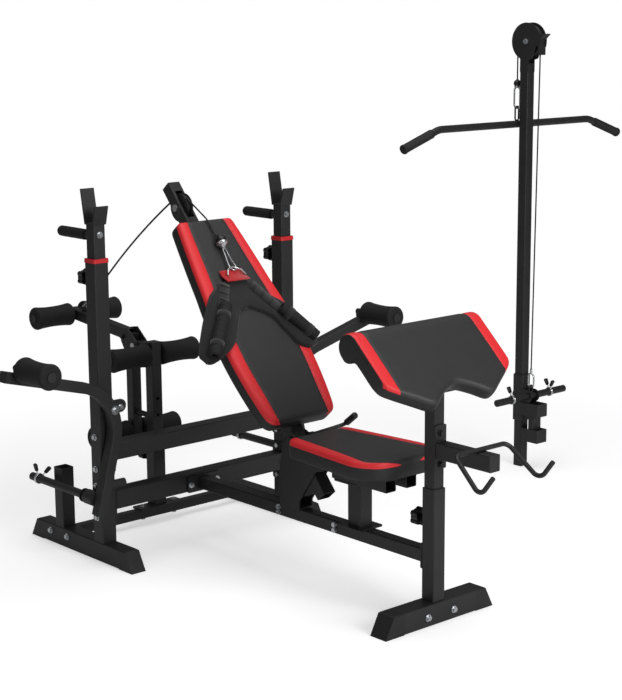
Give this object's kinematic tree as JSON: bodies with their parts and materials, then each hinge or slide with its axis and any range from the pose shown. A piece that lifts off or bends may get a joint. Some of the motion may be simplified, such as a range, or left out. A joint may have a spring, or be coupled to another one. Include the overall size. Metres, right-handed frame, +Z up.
{
  "type": "adjustable weight bench",
  "caption": "Multi-station weight bench: reclining backrest, bar racks, swinging fly arms, leg developer, preacher pad, pull harness and a cable mast with lat bar and plate carriage",
  "frame": {"origin": "Middle of the front foot's underside, on the floor.", "axes": "+Z up. The bench runs back from the front foot along -X, and +Y points towards the cable mast. Left in the names is -Y and right is +Y, the mast's side."},
  "size_m": [2.0422, 2.658, 1.577],
  "materials": {
    "cable_black": "plastic-coated steel cable",
    "cap_black": "moulded end caps",
    "collar_red": "red plastic bush",
    "foam_black": "closed-cell foam",
    "frame_black": "satin black powder coat",
    "grip_rubber": "moulded rubber grip",
    "harness_fabric": "padded webbing",
    "knob_plastic": "moulded knob",
    "pulley_nylon": "nylon",
    "upholstery": "charcoal vinyl with red side panels",
    "zinc": "bright zinc plate"
  },
  "bodies": {
    "frame": {"side_foot_left": "frame_black", "side_foot_right": "frame_black", "upright_left": "frame_black", "upright_right": "frame_black", "foot_caps": "cap_black", "upright_collars": "collar_red", "upper_cross_beam": "frame_black", "lower_cross_beam": "frame_black", "rear_cross_tube": "frame_black", "storage_socket": "frame_black", "centre_beam": "frame_black", "front_foot": "frame_black", "preacher_post": "frame_black", "seat_frame": "frame_black", "seat_pad": "upholstery", "backrest_bracket": "frame_black", "leg_post": "frame_black", "frame_bolts": "zinc", "mast": "frame_black", "lat_cable_arc": "cable_black"},
    "backrest": {"backrest_spine": "frame_black", "backrest_pad": "upholstery", "harness_cable_front": "cable_black", "harness_clip": "zinc", "harness": "harness_fabric"},
    "spine_pulley": {"spine_pulley": "pulley_nylon"},
    "recline_lever": {"recline_lever": "frame_black"},
    "rack_left": {"rack_tube_left": "frame_black", "dip_grip_left": "grip_rubber"},
    "rack_right": {"rack_tube_right": "frame_black", "dip_grip_right": "grip_rubber"},
    "rack_knob_left": {"rack_knob_left": "knob_plastic"},
    "rack_knob_right": {"rack_knob_right": "knob_plastic"},
    "preacher_knob": {"preacher_knob": "knob_plastic"},
    "leg_post_knob": {"leg_post_knob": "knob_plastic"},
    "preacher_rest": {"preacher_tube": "frame_black", "preacher_pad": "upholstery", "curl_bar_catch": "frame_black"},
    "arm_left": {"arm_left": "frame_black"},
    "arm_right": {"arm_right": "frame_black"},
    "arm_roller_left": {"arm_roller_left": "foam_black"},
    "arm_roller_right": {"arm_roller_right": "foam_black"},
    "peg_clip_left": {"peg_clip_left": "grip_rubber"},
    "peg_clip_right": {"peg_clip_right": "grip_rubber"},
    "leg_tube": {"leg_tube": "frame_black"},
    "knee_rollers": {"knee_rollers": "foam_black"},
    "leg_lever": {"leg_lever": "frame_black", "lever_clip": "zinc", "harness_cable_rear": "cable_black"},
    "swing_rollers": {"swing_rollers": "foam_black"},
    "lever_rollers": {"lever_rollers": "foam_black"},
    "mast_pulley": {"mast_pulley": "pulley_nylon"},
    "lat_bar": {"lat_bar": "frame_black", "lat_grips": "grip_rubber", "lat_clip": "zinc", "lat_cable": "cable_black"},
    "carriage": {"carriage": "frame_black", "carriage_cable": "cable_black", "carriage_clip": "zinc", "spindle_clips": "grip_rubber"}
  },
  "joints": [
    {"name": "backrest_recline", "type": "hinge", "parent": "frame", "child": "backrest", "pos_m": [-0.55, 0, 0.402], "axis": [0, 1, 0], "range_deg": [-11, 33], "deforming": ["harness_cable_rear"]},
    {"name": "spine_pulley_spin", "type": "hinge", "parent": "backrest", "child": "spine_pulley", "pos_m": [-1.08379, 0, 1.03366], "axis": [0, 1, 0], "continuous": true},
    {"name": "recline_lever_lift", "type": "hinge", "parent": "frame", "child": "recline_lever", "pos_m": [-0.55, 0, 0.402], "axis": [0, -1, 0], "range_deg": [0, 15]},
    {"name": "rack_left_height", "type": "slide", "parent": "frame", "child": "rack_left", "axis": [0, 0, 1], "range_m": [0, 0.15]},
    {"name": "rack_knob_left_turn", "type": "hinge", "parent": "frame", "child": "rack_knob_left", "pos_m": [-1.065, -0.3565, 0.857], "axis": [1, 0, 0], "continuous": true},
    {"name": "rack_right_height", "type": "slide", "parent": "frame", "child": "rack_right", "axis": [0, 0, 1], "range_m": [0, 0.15]},
    {"name": "rack_knob_right_turn", "type": "hinge", "parent": "frame", "child": "rack_knob_right", "pos_m": [-1.065, 0.3565, 0.857], "axis": [1, 0, 0], "continuous": true},
    {"name": "preacher_knob_turn", "type": "hinge", "parent": "frame", "child": "preacher_knob", "pos_m": [-0.0325, 0, 0.281], "axis": [1, 0, 0], "continuous": true},
    {"name": "leg_post_knob_turn", "type": "hinge", "parent": "frame", "child": "leg_post_knob", "pos_m": [-1.2845, 0, 0.218], "axis": [1, 0, 0], "continuous": true},
    {"name": "preacher_height", "type": "slide", "parent": "frame", "child": "preacher_rest", "axis": [0, 0, 1], "range_m": [0, 0.1]},
    {"name": "arm_left_fly", "type": "hinge", "parent": "frame", "child": "arm_left", "pos_m": [-0.981, -0.354, 0.475], "axis": [-1, 0, 0], "range_deg": [0, 60]},
    {"name": "arm_roller_left_spin", "type": "hinge", "parent": "arm_left", "child": "arm_roller_left", "pos_m": [-0.89, -0.66, 0.641], "axis": [1, 0, 0], "continuous": true},
    {"name": "peg_clip_left_slide", "type": "slide", "parent": "arm_left", "child": "peg_clip_left", "axis": [1, 0, 0], "range_m": [-0.2, 0.235]},
    {"name": "arm_right_fly", "type": "hinge", "parent": "frame", "child": "arm_right", "pos_m": [-0.981, 0.354, 0.475], "axis": [1, 0, 0], "range_deg": [0, 60]},
    {"name": "arm_roller_right_spin", "type": "hinge", "parent": "arm_right", "child": "arm_roller_right", "pos_m": [-0.89, 0.66, 0.641], "axis": [1, 0, 0], "continuous": true},
    {"name": "peg_clip_right_slide", "type": "slide", "parent": "arm_right", "child": "peg_clip_right", "axis": [1, 0, 0], "range_m": [-0.2, 0.235]},
    {"name": "leg_tube_height", "type": "slide", "parent": "frame", "child": "leg_tube", "axis": [0, 0, 1], "range_m": [0, 0.1], "deforming": ["harness_cable_rear"]},
    {"name": "knee_rollers_spin", "type": "hinge", "parent": "leg_tube", "child": "knee_rollers", "pos_m": [-1.252, 0, 0.55], "axis": [0, 1, 0], "continuous": true},
    {"name": "leg_lever_swing", "type": "hinge", "parent": "leg_tube", "child": "leg_lever", "pos_m": [-1.328, 0, 0.57], "axis": [0, 1, 0], "range_deg": [0, 75], "deforming": ["harness_cable_rear"]},
    {"name": "swing_rollers_spin", "type": "hinge", "parent": "leg_lever", "child": "swing_rollers", "pos_m": [-1.362, 0, 0.281], "axis": [0, 1, 0], "continuous": true},
    {"name": "lever_rollers_spin", "type": "hinge", "parent": "leg_lever", "child": "lever_rollers", "pos_m": [-1.68508, 0, 0.62822], "axis": [0, 1, 0], "continuous": true},
    {"name": "carriage_travel", "type": "slide", "parent": "frame", "child": "carriage", "axis": [0, 0, 1], "range_m": [-0.05, 0.75], "deforming": ["carriage_cable"]},
    {"name": "lat_bar_travel", "type": "slide", "parent": "frame", "child": "lat_bar", "axis": [0, 0, 1], "range_m": [-0.75, 0.05], "deforming": ["lat_cable"]},
    {"name": "mast_pulley_turn", "type": "hinge", "parent": "frame", "child": "mast_pulley", "pos_m": [-0.895, 1.373, 1.513], "axis": [0, -1, 0], "range_deg": [-60, 840]}
  ],
  "couplings": [
    {"joint": "lat_bar_travel", "follows": "carriage_travel", "ratio": -1},
    {"joint": "mast_pulley_turn", "follows": "carriage_travel", "rad_per_m": 19.493}
  ]
}
